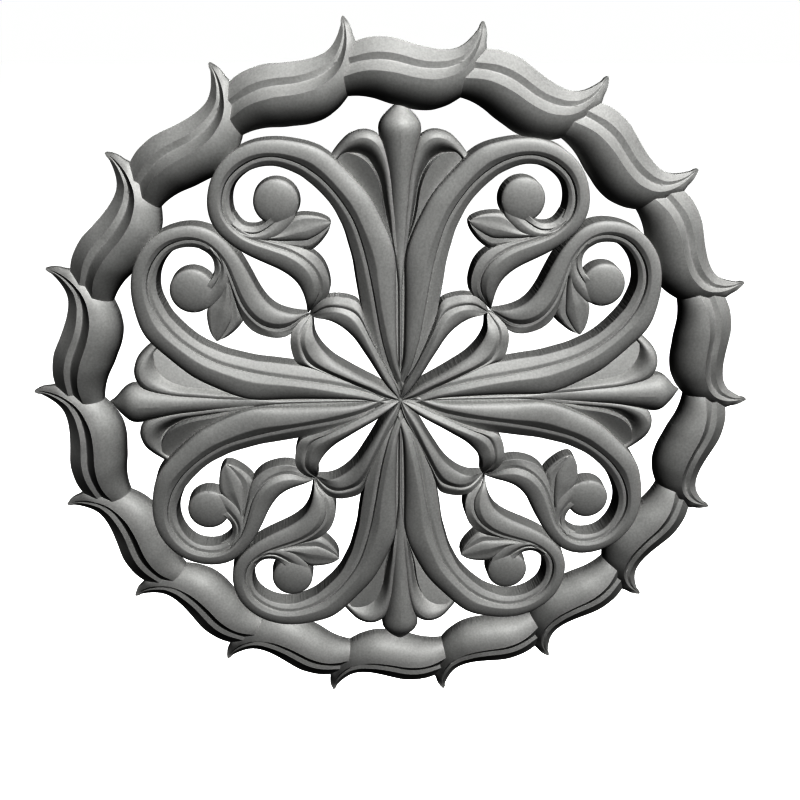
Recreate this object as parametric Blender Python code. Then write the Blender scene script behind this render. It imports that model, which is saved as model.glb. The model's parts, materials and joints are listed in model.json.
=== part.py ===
"""Carved rosette: an openwork scroll rosette inside a wreath of eighteen flame leaves.

The piece is carved in one, with a flat back. It stands upright here: +Z is up, the back
lies on the plane y = 0 and the carved face looks along -Y. The origin is the middle of
the back.

Plan positions are written in a flat drawing frame, as fractions of the tip radius:
x and y in the plane of the rosette, z the height of the carving above the back. The
scrollwork is drawn once for an eighth of a turn, from the +x axis round to the diagonal,
then mirrored and turned. The wreath is drawn once for one leaf, in polar form, and turned.
"""
import bpy
import bmesh
import math
import numpy as np

# ---------------------------------------------------------------- sizes
TIP_RADIUS = 0.200            # metres, centre to the point of a wreath leaf
WREATH_LEAVES = 18
WREATH_FIRST_TIP = 98.0       # degrees from +x, counter-clockwise seen from the front
ARMS = 4                      # quarter turns of the scrollwork
CLEAN = 1e-5                  # slivers shorter than this are closed up after a union
THIN = 0.85                   # share of triangles kept after the union
SINK = 0.012                  # how far shapes start behind the back before it is planed flat

# ---------------------------------------------------------------- scrollwork sizes
# main scroll, stations along its outer edge:
# x, y, edge height, crest offset, crest height, inner edge offset, inner edge height
SCROLL = (
    (0.0300, -0.0160, 0.0400, 0.0120, 0.0520, 0.0240, 0.0460),
    (0.1000, 0.0010, 0.0500, 0.0080, 0.0610, 0.0480, 0.0510),
    (0.1500, 0.0060, 0.0555, 0.0140, 0.0660, 0.0660, 0.0525),
    (0.2000, 0.0085, 0.0545, 0.0220, 0.0670, 0.0810, 0.0505),
    (0.3000, 0.0085, 0.0515, 0.0370, 0.0680, 0.1040, 0.0465),
    (0.4000, 0.0120, 0.0545, 0.0440, 0.0680, 0.1180, 0.0455),
    (0.4800, 0.0347, 0.0525, 0.0455, 0.0675, 0.1125, 0.0480),
    (0.5600, 0.0755, 0.0515, 0.0435, 0.0670, 0.1030, 0.0490),
    (0.6400, 0.1475, 0.0525, 0.0375, 0.0665, 0.0920, 0.0490),
    (0.6799, 0.2000, 0.0565, 0.0344, 0.0665, 0.0895, 0.0485),
    (0.6991, 0.2602, 0.0575, 0.0274, 0.0660, 0.0800, 0.0470),
    (0.7050, 0.3100, 0.0575, 0.0245, 0.0660, 0.0714, 0.0460),
    (0.7020, 0.3600, 0.0575, 0.0235, 0.0655, 0.0684, 0.0460),
    (0.6830, 0.4130, 0.0575, 0.0214, 0.0655, 0.0652, 0.0465),
    (0.6450, 0.4600, 0.0575, 0.0205, 0.0655, 0.0620, 0.0475),
    (0.6000, 0.4860, 0.0575, 0.0205, 0.0655, 0.0602, 0.0480),
    (0.5500, 0.4951, 0.0575, 0.0206, 0.0655, 0.0617, 0.0485),
    (0.5090, 0.4895, 0.0575, 0.0218, 0.0655, 0.0600, 0.0495),
    (0.4750, 0.4735, 0.0575, 0.0232, 0.0655, 0.0540, 0.0515),
    (0.4450, 0.4450, 0.0567, 0.0235, 0.0655, 0.0480, 0.0535),
    (0.4200, 0.4120, 0.0555, 0.0250, 0.0655, 0.0500, 0.0535),
    (0.4000, 0.3755, 0.0545, 0.0290, 0.0655, 0.0560, 0.0535),
    (0.3800, 0.3340, 0.0535, 0.0330, 0.0660, 0.0700, 0.0525),
    (0.3591, 0.2990, 0.0525, 0.0350, 0.0660, 0.0800, 0.0515),
    (0.3300, 0.2695, 0.0510, 0.0320, 0.0655, 0.0790, 0.0505),
    (0.2997, 0.2569, 0.0470, 0.0240, 0.0590, 0.0620, 0.0440),
    (0.2700, 0.2510, 0.0370, 0.0105, 0.0460, 0.0330, 0.0350),
    (0.2480, 0.2475, 0.0200, 0.0020, 0.0240, 0.0040, 0.0200),
)
# volute, stations along its inner edge: x, y, edge height, width, outer edge height
VOLUTE = (
    (0.5200, 0.4270, 0.0455, 0.0260, 0.0495),
    (0.4978, 0.4116, 0.0465, 0.0300, 0.0505),
    (0.4870, 0.3945, 0.0475, 0.0340, 0.0505),
    (0.4865, 0.3780, 0.0485, 0.0385, 0.0495),
    (0.4900, 0.3620, 0.0505, 0.0440, 0.0475),
    (0.4985, 0.3470, 0.0535, 0.0490, 0.0465),
    (0.5100, 0.3330, 0.0565, 0.0500, 0.0465),
    (0.5250, 0.3210, 0.0585, 0.0500, 0.0465),
    (0.5450, 0.3160, 0.0585, 0.0520, 0.0475),
)
BALL_CENTRE = (0.547, 0.3190)
BALL_RADIUS = 0.0592
BALL_RIM = 0.0525
BALL_TOP = 0.0590
# small boss that fills the middle, where the petals meet
BOSS_RADIUS = 0.024
BOSS_RIM = 0.041
BOSS_TOP = 0.053
# three-faced leaf, stations along its left edge: x, y, then width and heights at the
# left edge, the ridge and the right edge
LEAF_LEFT = ((0.440, 0.352), (0.432, 0.300), (0.424, 0.262), (0.4225, 0.2335), (0.4385, 0.2115), (0.4640, 0.1925), (0.4916, 0.1817))
LEAF_RIDGE = ((0.4465, 0.352), (0.452, 0.312), (0.462, 0.278), (0.472, 0.250), (0.481, 0.226), (0.487, 0.205), (0.4916, 0.1817))
LEAF_RIGHT = ((0.452, 0.352), (0.474, 0.320), (0.496, 0.290), (0.5125, 0.2620), (0.5120, 0.2350), (0.5055, 0.2050), (0.4916, 0.1817))
LEAF_EDGE = 0.0420
LEAF_CREST = 0.0580
LEAF_TIP = 0.0460
# petal, stations along the edge of its drop-shaped opening:
# x, y, edge height, crest offset, crest height, outer edge offset, outer edge height
PETAL = (
    (0.0040, 0.0060, 0.0360, 0.0030, 0.0520, 0.0060, 0.0460),
    (0.0300, 0.0300, 0.0430, 0.0130, 0.0660, 0.0260, 0.0570),
    (0.0600, 0.0515, 0.0470, 0.0140, 0.0690, 0.0320, 0.0590),
    (0.0970, 0.0752, 0.0503, 0.0180, 0.0710, 0.0410, 0.0590),
    (0.1474, 0.1045, 0.0530, 0.0230, 0.0715, 0.0550, 0.0550),
    (0.1800, 0.1260, 0.0530, 0.0265, 0.0700, 0.0660, 0.0510),
    (0.2073, 0.1519, 0.0510, 0.0275, 0.0650, 0.0730, 0.0490),
    (0.2240, 0.1780, 0.0480, 0.0250, 0.0610, 0.0690, 0.0480),
    (0.2330, 0.2020, 0.0440, 0.0190, 0.0590, 0.0590, 0.0470),
    (0.2345, 0.2200, 0.0360, 0.0120, 0.0500, 0.0430, 0.0410),
    (0.2330, 0.2330, 0.0270, 0.0060, 0.0370, 0.0220, 0.0320),
    (0.2400, 0.2430, 0.0180, 0.0030, 0.0240, 0.0060, 0.0200),
)
# finial, half of the long drop: x, half width, edge height, crest height
DROP = (
    (0.0600, 0.0060, 0.0350, 0.0470),
    (0.1500, 0.0075, 0.0350, 0.0470),
    (0.3000, 0.0075, 0.0350, 0.0465),
    (0.4000, 0.0125, 0.0390, 0.0490),
    (0.5000, 0.0190, 0.0410, 0.0520),
    (0.6000, 0.0290, 0.0390, 0.0590),
    (0.6600, 0.0422, 0.0350, 0.0625),
    (0.7000, 0.0522, 0.0290, 0.0645),
    (0.7300, 0.0552, 0.0260, 0.0635),
    (0.7550, 0.0442, 0.0230, 0.0556),
    (0.7750, 0.0240, 0.0190, 0.0402),
    (0.7880, 0.0090, 0.0120, 0.0220),
    (0.7990, 0.0015, 0.0060, 0.0080),
)
# low web that joins the two halves of an arm beside its ridge: x, half width, height
WEB = ((0.060, 0.016, 0.0335), (0.120, 0.018, 0.0345), (0.220, 0.020, 0.0350), (0.340, 0.020, 0.0345), (0.420, 0.022, 0.0330))
# side lobe of the finial: edge beside the drop, hollow, and edge under the scroll
LOBE_RIM = ((0.400, 0.008), (0.500, 0.0140), (0.600, 0.0240), (0.660, 0.0340), (0.700, 0.0460), (0.7190, 0.0720), (0.7215, 0.0950), (0.7110, 0.1290), (0.690, 0.1520), (0.662, 0.1750))
LOBE_HOLLOW = ((0.405, 0.016), (0.505, 0.030), (0.598, 0.0430), (0.645, 0.0560), (0.672, 0.0720), (0.6850, 0.0860), (0.6870, 0.1000), (0.6840, 0.1240), (0.672, 0.1440), (0.655, 0.1600))
LOBE_ROOT = ((0.410, 0.020), (0.500, 0.055), (0.560, 0.090), (0.600, 0.115), (0.620, 0.130), (0.630, 0.140), (0.636, 0.150), (0.640, 0.160), (0.642, 0.166), (0.644, 0.172))
LOBE_RIM_HEIGHT = (0.046, 0.047, 0.048, 0.048, 0.049, 0.047, 0.045, 0.039, 0.034, 0.029)
LOBE_HOLLOW_HEIGHT = (0.034, 0.031, 0.027, 0.026, 0.026, 0.027, 0.027, 0.025, 0.022, 0.020)
LOBE_ROOT_HEIGHT = (0.034, 0.033, 0.031, 0.030, 0.029, 0.028, 0.027, 0.026, 0.025, 0.024)

# ---------------------------------------------------------------- wreath sizes
# one wreath leaf, seen from above the ring. Each rail: degrees back from the tip, radius, height
LEAF_INNER = ((22.0, 0.8150, 0.018), (20.0, 0.8150, 0.018), (17.5, 0.8075, 0.018), (15.0, 0.7950, 0.018),
              (12.0, 0.7820, 0.018), (9.5, 0.7745, 0.018), (7.0, 0.7745, 0.018), (5.0, 0.7810, 0.018),
              (3.0, 0.7950, 0.018), (1.6, 0.8110, 0.018), (0.5, 0.8330, 0.018), (-0.3, 0.8650, 0.018),
              (-1.0, 0.9050, 0.017), (-1.30, 0.9400, 0.014), (-0.95, 0.9600, 0.011), (-0.45, 0.9830, 0.008), (0.0, 1.0000, 0.005))
LEAF_BULGE = ((22.0, 0.8240, 0.038), (20.0, 0.8255, 0.045), (17.5, 0.8200, 0.050), (15.0, 0.8100, 0.053),
              (12.0, 0.7970, 0.054), (9.5, 0.7900, 0.054), (7.0, 0.7900, 0.053), (5.0, 0.7960, 0.051),
              (3.0, 0.8100, 0.048), (1.7, 0.8250, 0.044), (0.8, 0.8450, 0.040), (0.1, 0.8720, 0.035),
              (-0.45, 0.9080, 0.030), (-0.70, 0.9400, 0.024), (-0.55, 0.9600, 0.018), (-0.25, 0.9800, 0.011), (0.0, 1.0000, 0.005))
LEAF_CREST1 = ((22.0, 0.8610, 0.049), (20.0, 0.8655, 0.060), (17.5, 0.8687, 0.0700), (15.0, 0.8660, 0.0765),
               (12.0, 0.8570, 0.0780), (9.5, 0.8495, 0.0775), (7.0, 0.8480, 0.0750), (5.0, 0.8530, 0.0700),
               (3.0, 0.8660, 0.0635), (2.0, 0.8790, 0.0570), (1.3, 0.8930, 0.0510), (0.7, 0.9100, 0.0440),
               (0.25, 0.9280, 0.0360), (-0.05, 0.9470, 0.0280), (-0.12, 0.9640, 0.0200), (-0.10, 0.9820, 0.0120), (0.0, 1.0000, 0.005))
LEAF_GROOVE = ((22.0, 0.8840, 0.035), (20.0, 0.8900, 0.040), (17.5, 0.8935, 0.0455), (15.0, 0.8925, 0.0485),
               (12.0, 0.8845, 0.0490), (9.5, 0.8755, 0.0490), (7.0, 0.8735, 0.0460), (5.0, 0.8775, 0.0425),
               (3.0, 0.8890, 0.0380), (2.0, 0.9005, 0.0350), (1.4, 0.9110, 0.0320), (0.9, 0.9240, 0.0280),
               (0.50, 0.9390, 0.0230), (0.22, 0.9540, 0.0180), (0.08, 0.9690, 0.0140), (0.02, 0.9840, 0.0090), (0.0, 1.0000, 0.005))
LEAF_CREST2 = ((22.0, 0.8960, 0.033), (20.0, 0.9035, 0.0390), (17.5, 0.9090, 0.0460), (15.0, 0.9090, 0.0495),
               (12.0, 0.9015, 0.0495), (9.5, 0.8920, 0.0490), (7.0, 0.8885, 0.0455), (5.0, 0.8920, 0.0415),
               (3.0, 0.9025, 0.0370), (2.1, 0.9130, 0.0340), (1.6, 0.9225, 0.0310), (1.15, 0.9340, 0.0270),
               (0.78, 0.9480, 0.0220), (0.45, 0.9620, 0.0170), (0.25, 0.9750, 0.0130), (0.10, 0.9870, 0.0090), (0.0, 1.0000, 0.005))
LEAF_OUTER = ((22.0, 0.9200, 0.018), (20.0, 0.9330, 0.020), (17.5, 0.9430, 0.022), (15.0, 0.9445, 0.023),
              (12.0, 0.9375, 0.024), (9.5, 0.9255, 0.023), (7.0, 0.9190, 0.021), (5.0, 0.9190, 0.019),
              (3.2, 0.9275, 0.018), (2.4, 0.9370, 0.017), (1.9, 0.9460, 0.016), (1.45, 0.9560, 0.014),
              (1.05, 0.9660, 0.012), (0.72, 0.9760, 0.010), (0.45, 0.9850, 0.008), (0.20, 0.9930, 0.006), (0.0, 1.0000, 0.005))


# ---------------------------------------------------------------- curves
def curve(rows, count):
    """Smooth curve through the rows, all columns together, as `count` samples."""
    p = np.array(rows, float)
    step = np.sqrt(np.hypot(np.diff(p[:, 0]), np.diff(p[:, 1])))
    u = np.concatenate([[0.0], np.cumsum(step)])
    n = len(p)
    a = np.zeros((n, n))
    b = np.zeros((n, p.shape[1]))
    a[0, 0] = a[-1, -1] = 1.0
    for i in range(1, n - 1):
        h0, h1 = u[i] - u[i - 1], u[i + 1] - u[i]
        a[i, i - 1:i + 2] = h0, 2.0 * (h0 + h1), h1
        b[i] = 6.0 * ((p[i + 1] - p[i]) / h1 - (p[i] - p[i - 1]) / h0)
    m = np.linalg.solve(a, b)
    out = []
    for t in np.linspace(0.0, u[-1], count):
        i = min(int(np.searchsorted(u, t, side="right")) - 1, n - 2)
        h = u[i + 1] - u[i]
        s0, s1 = (u[i + 1] - t), (t - u[i])
        out.append(m[i] * s0 ** 3 / (6 * h) + m[i + 1] * s1 ** 3 / (6 * h)
                   + (p[i] / h - m[i] * h / 6) * s0 + (p[i + 1] / h - m[i + 1] * h / 6) * s1)
    return np.array(out)


def left_normals(xy):
    d = np.gradient(xy, axis=0)
    d /= np.linalg.norm(d, axis=1)[:, None]
    return np.stack([-d[:, 1], d[:, 0]], axis=1)


def rail(xy, height):
    return np.column_stack([xy, height])


def polar_rail(rows, count):
    c = curve([(r * math.cos(math.radians(a)), r * math.sin(math.radians(a)), z) for a, r, z in rows], count)
    return c


# ---------------------------------------------------------------- solids
def loft(name, rails, depth):
    """Closed solid under a set of rails that run side by side; sides drop straight to `depth`."""
    n, m = len(rails[0]), len(rails)
    bm = bmesh.new()
    top = [[bm.verts.new(rails[j][i]) for j in range(m)] for i in range(n)]
    low = [[bm.verts.new((rails[j][i][0], rails[j][i][1], depth)) for j in (0, m - 1)] for i in range(n)]
    for i in range(n - 1):
        for j in range(m - 1):
            bm.faces.new((top[i][j], top[i + 1][j], top[i + 1][j + 1], top[i][j + 1]))
        bm.faces.new((low[i][0], low[i + 1][0], top[i + 1][0], top[i][0]))
        bm.faces.new((top[i][m - 1], top[i + 1][m - 1], low[i + 1][1], low[i][1]))
        bm.faces.new((low[i][1], low[i + 1][1], low[i + 1][0], low[i][0]))
    for i in (0, n - 1):
        bm.faces.new([low[i][0]] + top[i] + [low[i][1]])
    bmesh.ops.remove_doubles(bm, verts=bm.verts, dist=2e-5)
    bmesh.ops.triangulate(bm, faces=bm.faces)
    bmesh.ops.recalc_face_normals(bm, faces=bm.faces)
    me = bpy.data.meshes.new(name)
    bm.to_mesh(me)
    bm.free()
    return me


def disc(name, centre, radius, rim, top, depth, sides):
    """Low domed disc."""
    bm = bmesh.new()
    rings = []
    for r, z in ((radius, depth), (radius, rim), (radius * 0.72, rim + 0.75 * (top - rim))):
        rings.append([bm.verts.new((centre[0] + r * math.cos(2 * math.pi * k / sides),
                                    centre[1] + r * math.sin(2 * math.pi * k / sides), z)) for k in range(sides)])
    peak = bm.verts.new((centre[0], centre[1], top))
    for lower, upper in zip(rings, rings[1:]):
        for k in range(sides):
            bm.faces.new((lower[k], lower[(k + 1) % sides], upper[(k + 1) % sides], upper[k]))
    for k in range(sides):
        bm.faces.new((rings[-1][k], rings[-1][(k + 1) % sides], peak))
    bm.faces.new(rings[0][::-1])
    bmesh.ops.recalc_face_normals(bm, faces=bm.faces)
    me = bpy.data.meshes.new(name)
    bm.to_mesh(me)
    bm.free()
    return me


def swept_band(name, rows, count, side, depth):
    """Band with an outer edge, a rounded back, a crest and an inner edge."""
    c = curve(rows, count)
    xy, ze, co, zc, io, zi = c[:, 0:2], c[:, 2], c[:, 3], c[:, 4], c[:, 5], c[:, 6]
    nrm = left_normals(xy) * side
    mid = xy + nrm * (0.36 * co)[:, None]
    rails = [rail(xy, ze), rail(mid, ze + 0.70 * (zc - ze)), rail(xy + nrm * co[:, None], zc),
             rail(xy + nrm * io[:, None], zi)]
    return loft(name, rails, depth)


def volute(name, count, depth):
    c = curve(VOLUTE, count)
    xy, zi, w, zo = c[:, 0:2], c[:, 2], c[:, 3], c[:, 4]
    nrm = -left_normals(xy)
    rails = [rail(xy, zi), rail(xy + nrm * (0.5 * w)[:, None], np.maximum(zi, zo) + 0.006),
             rail(xy + nrm * w[:, None], zo)]
    return loft(name, rails, depth)


def leaf(name, count, depth):
    t = np.linspace(0.0, 1.0, count)
    edge = LEAF_EDGE + 0.0035 * t ** 4
    crest = LEAF_CREST + (LEAF_TIP - LEAF_CREST) * np.clip((t - 0.35) / 0.65, 0, 1) ** 1.6
    rails = [rail(curve(LEAF_LEFT, count), edge), rail(curve(LEAF_RIDGE, count), crest),
             rail(curve(LEAF_RIGHT, count), edge)]
    return loft(name, rails, depth)


def drop(name, count, depth):
    c = curve(DROP, count)
    x, w, ze, zc = c.T
    rails = [np.column_stack([x, -w, ze]), np.column_stack([x, -0.62 * w, ze + 0.72 * (zc - ze)]),
             np.column_stack([x, 0 * w, zc]),
             np.column_stack([x, 0.62 * w, ze + 0.72 * (zc - ze)]), np.column_stack([x, w, ze])]
    return loft(name, rails, depth)


def web(name, count, depth):
    c = curve(WEB, count)
    x, w, z = c.T
    return loft(name, [np.column_stack([x, -w, z]), np.column_stack([x, w, z])], depth)


def lobe(name, count, depth):
    def strip(points, heights):
        return curve([p + (h,) for p, h in zip(points, heights)], count)
    rails = [strip(LOBE_RIM, LOBE_RIM_HEIGHT), strip(LOBE_HOLLOW, LOBE_HOLLOW_HEIGHT),
             strip(LOBE_ROOT, LOBE_ROOT_HEIGHT)]
    return loft(name, rails, depth)


def wreath_leaf(name, count, depth):
    rails = [polar_rail(r, count) for r in (LEAF_INNER, LEAF_BULGE, LEAF_CREST1, LEAF_GROOVE, LEAF_CREST2, LEAF_OUTER)]
    return loft(name, rails, depth)


# ---------------------------------------------------------------- scene helpers
def clear():
    for ob in list(bpy.data.objects):
        bpy.data.objects.remove(ob, do_unlink=True)


def collection(name):
    col = bpy.data.collections.new(name)
    bpy.context.scene.collection.children.link(col)
    return col


def place(me, name, col, turn=0.0, flip=False, shift=0.0):
    """Copy of a drawing-frame mesh, mirrored about the x axis and turned."""
    me = me.copy()
    ca, sa = math.cos(turn), math.sin(turn)
    for v in me.vertices:
        x, y, z = v.co
        if flip:
            y = -y
        if z < -0.5 * SINK:
            z -= shift
        v.co = (ca * x - sa * y, sa * x + ca * y, z)
    if flip:
        me.flip_normals()
    ob = bpy.data.objects.new(name, me)
    col.objects.link(ob)
    return ob


def carve(target, operation, tool):
    """One exact Boolean of the target with an object or with all shapes of a collection."""
    mod = target.modifiers.new("carve", "BOOLEAN")
    mod.operation = operation
    mod.solver = "EXACT"
    if isinstance(tool, bpy.types.Collection):
        mod.operand_type = "COLLECTION"
        mod.collection = tool
    else:
        mod.object = tool
    dg = bpy.context.evaluated_depsgraph_get()
    me = bpy.data.meshes.new_from_object(target.evaluated_get(dg))
    target.modifiers.clear()
    bm = bmesh.new()
    bm.from_mesh(me)
    bmesh.ops.remove_doubles(bm, verts=bm.verts, dist=CLEAN)
    bmesh.ops.dissolve_degenerate(bm, edges=bm.edges, dist=CLEAN)
    bm.to_mesh(me)
    bm.free()
    old = target.data
    target.data = me
    bpy.data.meshes.remove(old)


def thin_out(target, ratio):
    """Fewer triangles where the surface hardly bends."""
    mod = target.modifiers.new("thin", "DECIMATE")
    mod.decimate_type = "COLLAPSE"
    mod.ratio = ratio
    mod.use_collapse_triangulate = True
    dg = bpy.context.evaluated_depsgraph_get()
    me = bpy.data.meshes.new_from_object(target.evaluated_get(dg))
    target.modifiers.clear()
    old = target.data
    target.data = me
    bpy.data.meshes.remove(old)


def material(name, colour, roughness):
    mat = bpy.data.materials.new(name)
    mat.use_nodes = True
    bsdf = mat.node_tree.nodes["Principled BSDF"]
    bsdf.inputs["Base Color"].default_value = (*colour, 1.0)
    bsdf.inputs["Roughness"].default_value = roughness
    bsdf.inputs["Metallic"].default_value = 0.0
    return mat


def main():
    clear()
    col = collection("carved_rosette")
    work = collection("shapes")

    pieces = (
        swept_band("scroll", SCROLL, 24, 1.0, -SINK),
        volute("volute", 9, -SINK * 1.02),
        disc("ball", BALL_CENTRE, BALL_RADIUS, BALL_RIM, BALL_TOP, -SINK * 1.04, 16),
        leaf("leaf", 7, -SINK * 1.06),
        swept_band("petal", PETAL, 12, -1.0, -SINK * 1.08),
        lobe("lobe", 9, -SINK * 1.10),
    )
    long_drop = drop("drop", 11, -SINK * 1.12)
    strip = web("web", 6, -SINK * 1.18)
    boss = disc("boss", (0.0, 0.0), BOSS_RADIUS, BOSS_RIM, BOSS_TOP, -SINK * 1.16, 12)
    one_leaf = wreath_leaf("wreath_leaf", 13, -SINK * 1.14)

    solid = None
    for arm in range(ARMS):
        turn = arm * 2 * math.pi / ARMS
        for flip in (False, True):
            for me in pieces:
                ob = place(me, f"{me.name}_{arm}_{int(flip)}", work if solid else col, turn, flip, 0.0003 * (2 * arm + flip))
                solid = solid or ob
        place(long_drop, f"drop_{arm}", work, turn, False, 0.0003 * arm)
        place(strip, f"web_{arm}", work, turn, False, 0.0003 * arm)
    place(boss, "boss", work, math.radians(7.0))
    for k in range(WREATH_LEAVES):
        turn = math.radians(WREATH_FIRST_TIP) - k * 2 * math.pi / WREATH_LEAVES
        place(one_leaf, f"wreath_{k}", work, turn, False, 0.0003 * (k % 3))
    carve(solid, "UNION", work)

    # plane the back flat
    bm = bmesh.new()
    bmesh.ops.create_cube(bm, size=1.0)
    for v in bm.verts:
        v.co = (v.co.x * 2.6, v.co.y * 2.6, v.co.z * 0.2 - 0.1)
    me = bpy.data.meshes.new("plane_off")
    bm.to_mesh(me)
    bm.free()
    cutter = bpy.data.objects.new("plane_off", me)
    work.objects.link(cutter)
    carve(solid, "DIFFERENCE", cutter)

    # flat areas to few triangles, then the rest
    bm = bmesh.new()
    bm.from_mesh(solid.data)
    bmesh.ops.dissolve_limit(bm, angle_limit=math.radians(2.0), verts=bm.verts, edges=bm.edges)
    bmesh.ops.triangulate(bm, faces=bm.faces)
    bm.to_mesh(solid.data)
    bm.free()
    thin_out(solid, THIN)

    # stand it up and bring it to size
    for v in solid.data.vertices:
        x, y, z = v.co
        if z < 1e-4:
            z = 0.0
        v.co = (x * TIP_RADIUS, -z * TIP_RADIUS, y * TIP_RADIUS)
    solid.data.update()
    solid.name = "rosette"
    solid.data.materials.clear()
    solid.data.materials.append(material("primed_wood", (0.36, 0.36, 0.355), 0.5))
    for ob in work.objects:
        ob.hide_render = True
        ob.display_type = "WIRE"
    work.hide_viewport = True
    for me in list(pieces) + [long_drop, strip, boss, one_leaf]:
        bpy.data.meshes.remove(me)


main()
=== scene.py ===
"""Carved rosette, fine surface.

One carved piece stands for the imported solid. Plan positions are written in a flat
drawing frame as fractions of the tip radius: x and y in the plane of the rosette, z the
height of the carving above the flat back. The scrollwork is drawn once for an eighth of
a turn, from the +x axis round to the diagonal, then mirrored and turned; the wreath is
drawn once for one leaf and turned.
"""
import json
import math
import bpy
import bmesh
import numpy as np
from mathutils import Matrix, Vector

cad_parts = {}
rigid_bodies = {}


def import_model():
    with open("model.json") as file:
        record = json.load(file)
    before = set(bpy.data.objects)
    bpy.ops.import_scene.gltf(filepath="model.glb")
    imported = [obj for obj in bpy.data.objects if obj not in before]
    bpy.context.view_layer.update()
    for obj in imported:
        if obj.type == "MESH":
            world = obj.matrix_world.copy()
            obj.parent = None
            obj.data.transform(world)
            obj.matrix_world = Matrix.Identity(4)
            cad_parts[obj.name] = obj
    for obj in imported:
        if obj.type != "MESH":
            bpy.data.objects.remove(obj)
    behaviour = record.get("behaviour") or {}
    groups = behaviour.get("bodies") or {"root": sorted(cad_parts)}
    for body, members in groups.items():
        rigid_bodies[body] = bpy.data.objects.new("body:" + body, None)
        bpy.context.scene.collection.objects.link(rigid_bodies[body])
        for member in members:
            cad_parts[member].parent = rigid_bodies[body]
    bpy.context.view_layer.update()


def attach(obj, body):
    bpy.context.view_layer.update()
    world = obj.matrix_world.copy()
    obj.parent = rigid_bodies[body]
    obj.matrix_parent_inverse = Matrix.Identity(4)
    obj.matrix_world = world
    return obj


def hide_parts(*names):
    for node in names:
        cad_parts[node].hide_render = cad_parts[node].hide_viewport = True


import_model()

R = 0.200                 # metres, centre to the point of a wreath leaf
FIT = 0.9999              # keeps the fine surface a hair inside the solid's outer box
SINK = 0.012              # shapes start this far behind the back before it is planed flat


# ------------------------------------------------------------------ curves
def natural(p, u, t):
    """Natural cubic spline through p at u, read at t."""
    n = len(p)
    a = np.zeros((n, n))
    b = np.zeros((n, p.shape[1]))
    a[0, 0] = a[-1, -1] = 1.0
    for i in range(1, n - 1):
        h0, h1 = u[i] - u[i - 1], u[i + 1] - u[i]
        a[i, i - 1:i + 2] = h0, 2.0 * (h0 + h1), h1
        b[i] = 6.0 * ((p[i + 1] - p[i]) / h1 - (p[i] - p[i - 1]) / h0)
    m = np.linalg.solve(a, b)
    i = np.clip(np.searchsorted(u, t, side="right") - 1, 0, n - 2)
    h = (u[i + 1] - u[i])[:, None]
    s0, s1 = (u[i + 1] - t)[:, None], (t - u[i])[:, None]
    return (m[i] * s0 ** 3 / (6 * h) + m[i + 1] * s1 ** 3 / (6 * h)
            + (p[i] / h - m[i] * h / 6) * s0 + (p[i + 1] / h - m[i + 1] * h / 6) * s1)


def even(rows, count, dense=700):
    """Smooth curve through the rows (x, y, then anything), evenly spaced along its plan length."""
    p = np.array(rows, float)
    step = np.sqrt(np.hypot(np.diff(p[:, 0]), np.diff(p[:, 1])))
    u = np.concatenate([[0.0], np.cumsum(step)])
    c = natural(p, u, np.linspace(0.0, u[-1], dense))
    s = np.concatenate([[0.0], np.cumsum(np.hypot(np.diff(c[:, 0]), np.diff(c[:, 1])))])
    t = np.linspace(0.0, s[-1], count)
    return np.column_stack([np.interp(t, s, c[:, k]) for k in range(c.shape[1])])


def left_of(xy):
    d = np.gradient(xy, axis=0)
    d /= np.linalg.norm(d, axis=1)[:, None]
    return np.stack([-d[:, 1], d[:, 0]], axis=1)


def at(xy, z):
    return np.column_stack([xy, z])


# ------------------------------------------------------------------ sections between two rails
def flat(k):
    t = np.linspace(0.0, 1.0, k + 1)
    return t, t


def dome(k, power=2.0):
    """Rises steeply, then levels out at the second rail."""
    a = np.linspace(0.0, math.pi / 2, k + 1)
    return 1.0 - np.cos(a) ** (2.0 / power), np.sin(a) ** (2.0 / power)


def dome_down(k, power=2.0):
    """Level at the first rail, falls steeply to the second."""
    x, y = dome(k, power)
    return (1.0 - x)[::-1], (1.0 - y)[::-1]


def bow(k, amount):
    """Straight section with a slight belly."""
    t = np.linspace(0.0, 1.0, k + 1)
    return t, t + amount * 4.0 * t * (1.0 - t)


def shoulder(k, roll, lip=0.0):
    """Level at the first rail, rolls over into an even fall, a little steeper at the second."""
    t = np.linspace(0.0, 1.0, 401)
    g = np.clip(t / roll, 0, 1)
    g = g * g * (3.0 - 2.0 * g) + lip * t ** 6
    f = np.concatenate([[0.0], np.cumsum(g[1:] + g[:-1])])
    u = np.linspace(0.0, 1.0, k + 1)
    return u, np.interp(u, t, f / f[-1])


def facet(k, roll):
    """Level at the first rail, rolls over within the share `roll`, then one plain facet."""
    t = np.linspace(0.0, 1.0, 401)
    g = np.clip(t / roll, 0, 1)
    g = g * g * (3.0 - 2.0 * g)
    f = np.concatenate([[0.0], np.cumsum(g[1:] + g[:-1])])
    u = np.concatenate([np.linspace(0.0, roll, k), [1.0]])
    return u, np.interp(u, t, f / f[-1])


def ease(k):
    """Level at both rails."""
    t = np.linspace(0.0, 1.0, k + 1)
    return t, t * t * (3.0 - 2.0 * t)


def hollow(k, power=2.0):
    """Falls steeply from the first rail, level at the second, as a scoop."""
    x, y = dome_down(k, power)
    return (1.0 - x)[::-1], (1.0 - y)[::-1]


# ------------------------------------------------------------------ solids
PATCH = [0]


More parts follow.
